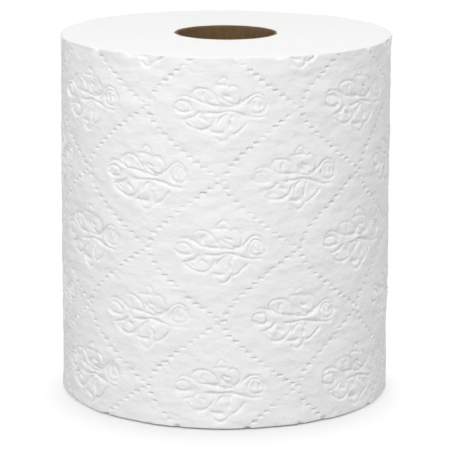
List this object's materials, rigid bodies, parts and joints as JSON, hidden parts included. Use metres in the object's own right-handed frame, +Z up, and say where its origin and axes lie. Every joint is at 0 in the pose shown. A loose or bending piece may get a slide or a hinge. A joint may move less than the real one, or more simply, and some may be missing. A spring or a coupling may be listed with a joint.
{
  "type": "toilet paper roll",
  "caption": "White toilet paper wound on a plain cardboard core, its outer turn embossed with dashed diamonds and leafy sprigs; the core's bore takes a holder's rod.",
  "frame": {"origin": "centre of the end that the roll stands on", "axes": "+Z up along the core's axis; the front of the roll in the picture faces -Y, and +X is to the right"},
  "size_m": [0.1037, 0.1036, 0.114],
  "materials": {
    "tissue_paper": "soft matte tissue, embossed",
    "core_board": "matte brown board, spiral wound"
  },
  "bodies": {
    "root": {"paper_roll": "tissue_paper", "cardboard_core": "core_board"}
  },
  "joints": []
}
